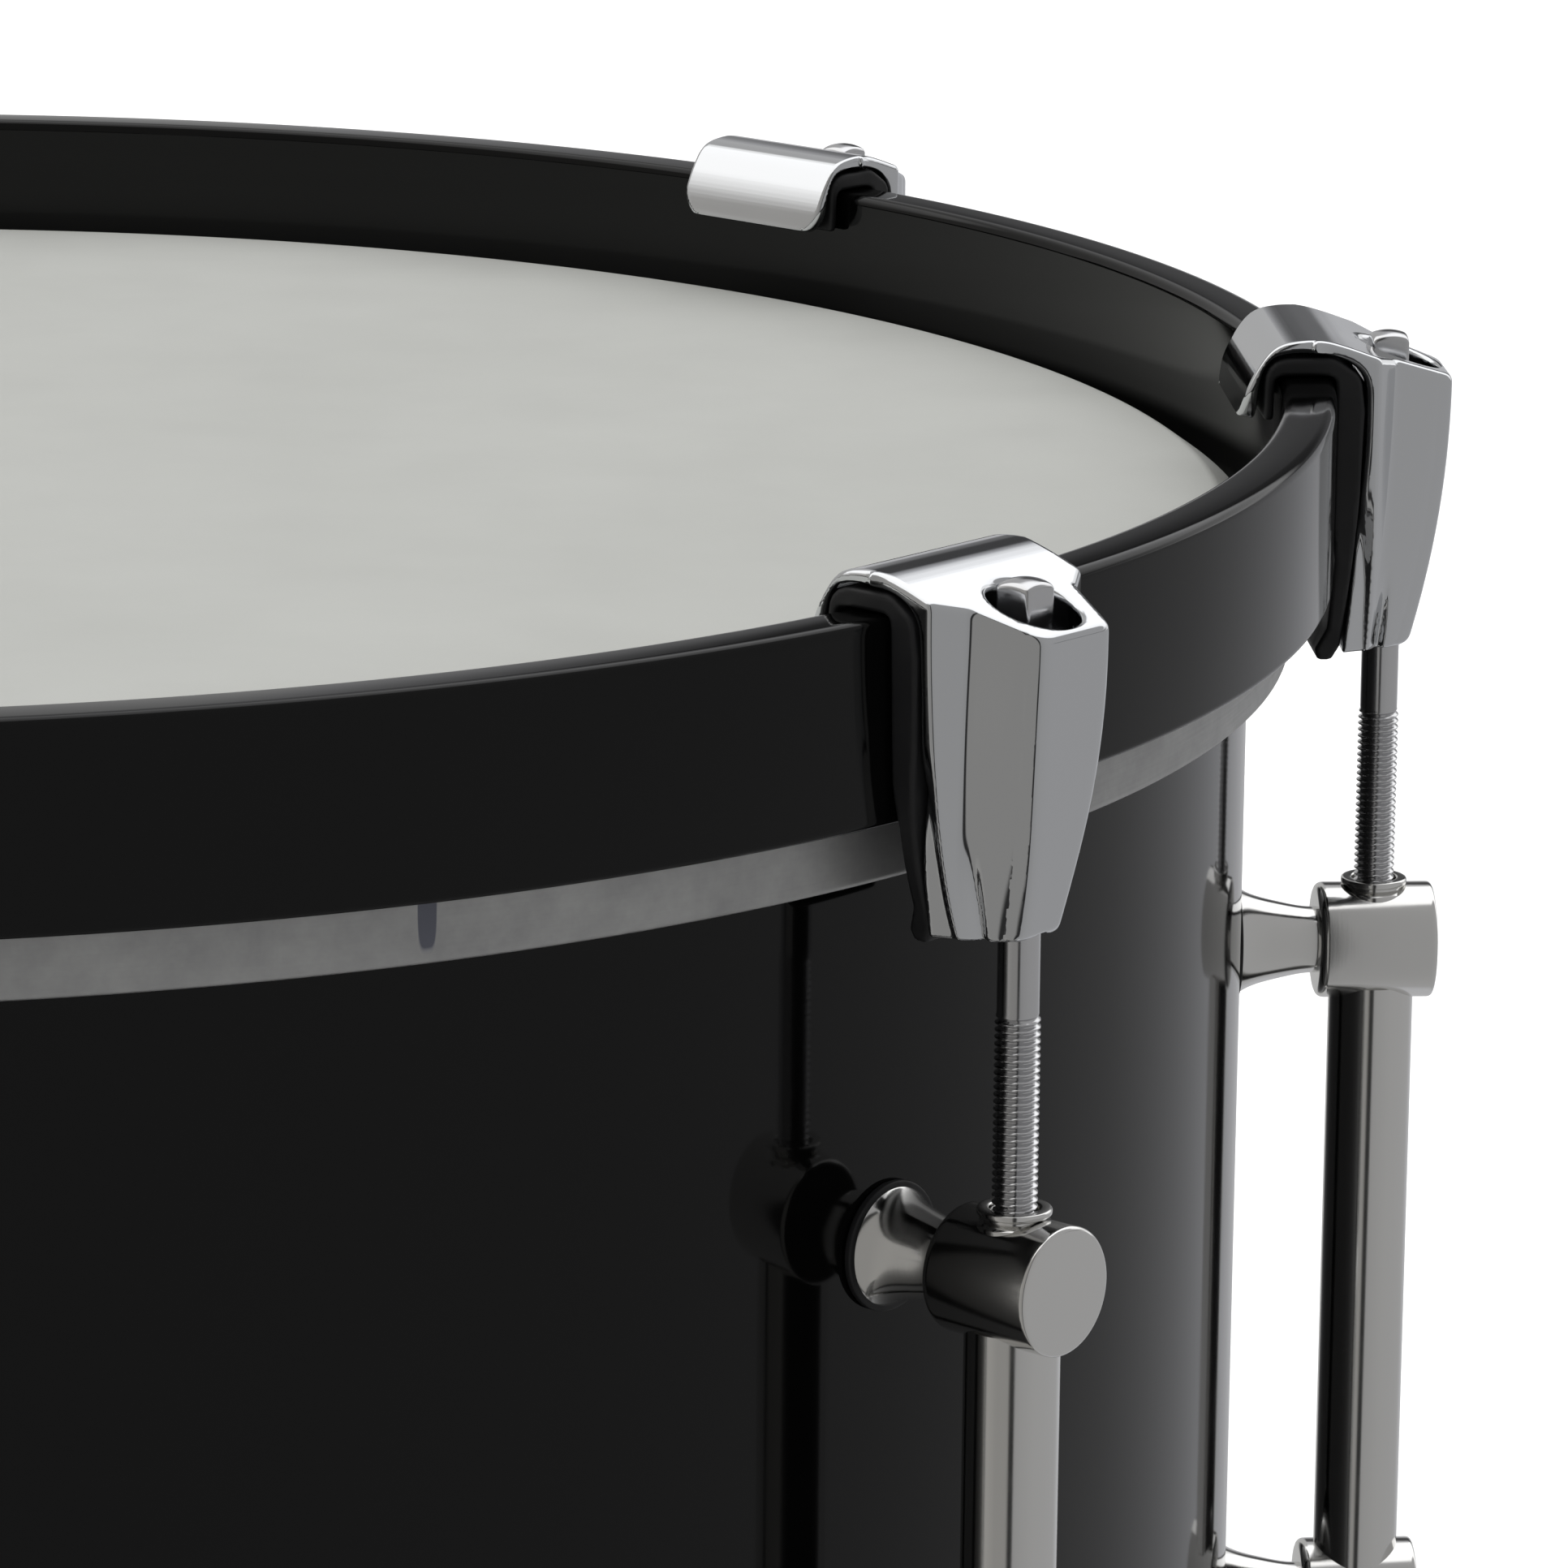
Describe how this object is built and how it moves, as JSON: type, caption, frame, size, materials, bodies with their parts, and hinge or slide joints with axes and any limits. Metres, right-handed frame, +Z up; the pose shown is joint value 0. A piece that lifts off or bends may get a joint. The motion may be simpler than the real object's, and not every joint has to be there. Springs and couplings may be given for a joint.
{
  "type": "snare drum",
  "caption": "Cylindrical snare drum with a black lacquered shell and wood hoops, claw-hook tension rods on tube lugs, white heads, snare wires and a lever throw-off.",
  "frame": {"origin": "on the floor under the drum's centre, where it stands on the crowns of the snare-side claws", "axes": "+Z up along the drum's axis with the batter head on top; -Y faces lug 1, +X faces lug 3"},
  "size_m": [0.4064, 0.4064, 0.2422],
  "materials": {
    "shell_lacquer": "mirror-gloss black lacquer over wood ply, with faint fine hairlines",
    "hoop_lacquer": "gloss black lacquer over wood ply",
    "drumhead_film": "matte warm white coated polyester film with a very fine grain",
    "flesh_ring_aluminium": "satin rolled aluminium ring of a drumhead",
    "claw_chrome": "polished chrome on a die casting",
    "lug_nickel": "polished, satin on the turned end caps",
    "rod_steel": "polished plated steel",
    "pad_rubber": "satin black rubber",
    "strainer_chrome": "polished chrome",
    "snare_steel": "bright drawn steel wire"
  },
  "bodies": {
    "root": {"shell": "shell_lacquer", "batter_head": "drumhead_film", "snare_head": "drumhead_film", "batter_hoop": "hoop_lacquer", "snare_hoop": "hoop_lacquer", "lug_1": "lug_nickel", "claw_pad_1": "pad_rubber", "batter_claw_1": "claw_chrome", "snare_claw_1": "claw_chrome", "lug_2": "lug_nickel", "claw_pad_2": "pad_rubber", "batter_claw_2": "claw_chrome", "snare_claw_2": "claw_chrome", "lug_3": "lug_nickel", "claw_pad_3": "pad_rubber", "batter_claw_3": "claw_chrome", "snare_claw_3": "claw_chrome", "lug_4": "lug_nickel", "claw_pad_4": "pad_rubber", "batter_claw_4": "claw_chrome", "snare_claw_4": "claw_chrome", "lug_5": "lug_nickel", "claw_pad_5": "pad_rubber", "batter_claw_5": "claw_chrome", "snare_claw_5": "claw_chrome", "lug_6": "lug_nickel", "claw_pad_6": "pad_rubber", "batter_claw_6": "claw_chrome", "snare_claw_6": "claw_chrome", "lug_7": "lug_nickel", "claw_pad_7": "pad_rubber", "batter_claw_7": "claw_chrome", "snare_claw_7": "claw_chrome", "lug_8": "lug_nickel", "claw_pad_8": "pad_rubber", "batter_claw_8": "claw_chrome", "snare_claw_8": "claw_chrome", "snare_wires": "snare_steel", "strainer_base": "strainer_chrome", "butt_plate": "strainer_chrome", "vent_grommet": "lug_nickel"},
    "batter_rod_1": {"batter_rod_1": "rod_steel"},
    "batter_rod_2": {"batter_rod_2": "rod_steel"},
    "batter_rod_3": {"batter_rod_3": "rod_steel"},
    "batter_rod_4": {"batter_rod_4": "rod_steel"},
    "batter_rod_5": {"batter_rod_5": "rod_steel"},
    "batter_rod_6": {"batter_rod_6": "rod_steel"},
    "batter_rod_7": {"batter_rod_7": "rod_steel"},
    "batter_rod_8": {"batter_rod_8": "rod_steel"},
    "snare_rod_1": {"snare_rod_1": "rod_steel"},
    "snare_rod_2": {"snare_rod_2": "rod_steel"},
    "snare_rod_3": {"snare_rod_3": "rod_steel"},
    "snare_rod_4": {"snare_rod_4": "rod_steel"},
    "snare_rod_5": {"snare_rod_5": "rod_steel"},
    "snare_rod_6": {"snare_rod_6": "rod_steel"},
    "snare_rod_7": {"snare_rod_7": "rod_steel"},
    "snare_rod_8": {"snare_rod_8": "rod_steel"},
    "strap_slider": {"strap_slider": "strainer_chrome"},
    "tension_knob": {"tension_knob": "strainer_chrome"},
    "throw_off_lever": {"throw_off_lever": "strainer_chrome"}
  },
  "joints": [
    {"name": "lever_throw", "type": "hinge", "parent": "root", "child": "throw_off_lever", "pos_m": [-0.07347, -0.17738, 0.0911], "axis": [0.9239, -0.3827, 0], "range_deg": [0, 95]},
    {"name": "clamp_slide", "type": "slide", "parent": "root", "child": "strap_slider", "axis": [0, 0, -1], "range_m": [0, 0.006]},
    {"name": "knob_turn", "type": "hinge", "parent": "strap_slider", "child": "tension_knob", "pos_m": [-0.07485, -0.18071, 0.0691], "axis": [0, 0, 1], "continuous": true},
    {"name": "rod_batter_1_turn", "type": "hinge", "parent": "root", "child": "batter_rod_1", "pos_m": [0, -0.1956, 0.2011], "axis": [0, 0, 1], "continuous": true},
    {"name": "rod_batter_2_turn", "type": "hinge", "parent": "root", "child": "batter_rod_2", "pos_m": [0.13831, -0.13831, 0.2011], "axis": [0, 0, 1], "continuous": true},
    {"name": "rod_batter_3_turn", "type": "hinge", "parent": "root", "child": "batter_rod_3", "pos_m": [0.1956, 0, 0.2011], "axis": [0, 0, 1], "continuous": true},
    {"name": "rod_batter_4_turn", "type": "hinge", "parent": "root", "child": "batter_rod_4", "pos_m": [0.13831, 0.13831, 0.2011], "axis": [0, 0, 1], "continuous": true},
    {"name": "rod_batter_5_turn", "type": "hinge", "parent": "root", "child": "batter_rod_5", "pos_m": [0, 0.1956, 0.2011], "axis": [0, 0, 1], "continuous": true},
    {"name": "rod_batter_6_turn", "type": "hinge", "parent": "root", "child": "batter_rod_6", "pos_m": [-0.13831, 0.13831, 0.2011], "axis": [0, 0, 1], "continuous": true},
    {"name": "rod_batter_7_turn", "type": "hinge", "parent": "root", "child": "batter_rod_7", "pos_m": [-0.1956, 0, 0.2011], "axis": [0, 0, 1], "continuous": true},
    {"name": "rod_batter_8_turn", "type": "hinge", "parent": "root", "child": "batter_rod_8", "pos_m": [-0.13831, -0.13831, 0.2011], "axis": [0, 0, 1], "continuous": true},
    {"name": "rod_snare_1_turn", "type": "hinge", "parent": "root", "child": "snare_rod_1", "pos_m": [0, -0.1956, 0.0411], "axis": [0, 0, -1], "continuous": true},
    {"name": "rod_snare_2_turn", "type": "hinge", "parent": "root", "child": "snare_rod_2", "pos_m": [0.13831, -0.13831, 0.0411], "axis": [0, 0, -1], "continuous": true},
    {"name": "rod_snare_3_turn", "type": "hinge", "parent": "root", "child": "snare_rod_3", "pos_m": [0.1956, 0, 0.0411], "axis": [0, 0, -1], "continuous": true},
    {"name": "rod_snare_4_turn", "type": "hinge", "parent": "root", "child": "snare_rod_4", "pos_m": [0.13831, 0.13831, 0.0411], "axis": [0, 0, -1], "continuous": true},
    {"name": "rod_snare_5_turn", "type": "hinge", "parent": "root", "child": "snare_rod_5", "pos_m": [0, 0.1956, 0.0411], "axis": [0, 0, -1], "continuous": true},
    {"name": "rod_snare_6_turn", "type": "hinge", "parent": "root", "child": "snare_rod_6", "pos_m": [-0.13831, 0.13831, 0.0411], "axis": [0, 0, -1], "continuous": true},
    {"name": "rod_snare_7_turn", "type": "hinge", "parent": "root", "child": "snare_rod_7", "pos_m": [-0.1956, 0, 0.0411], "axis": [0, 0, -1], "continuous": true},
    {"name": "rod_snare_8_turn", "type": "hinge", "parent": "root", "child": "snare_rod_8", "pos_m": [-0.13831, -0.13831, 0.0411], "axis": [0, 0, -1], "continuous": true}
  ],
  "couplings": [
    {"joint": "clamp_slide", "follows": "lever_throw", "m_per_rad": 0.0036}
  ]
}
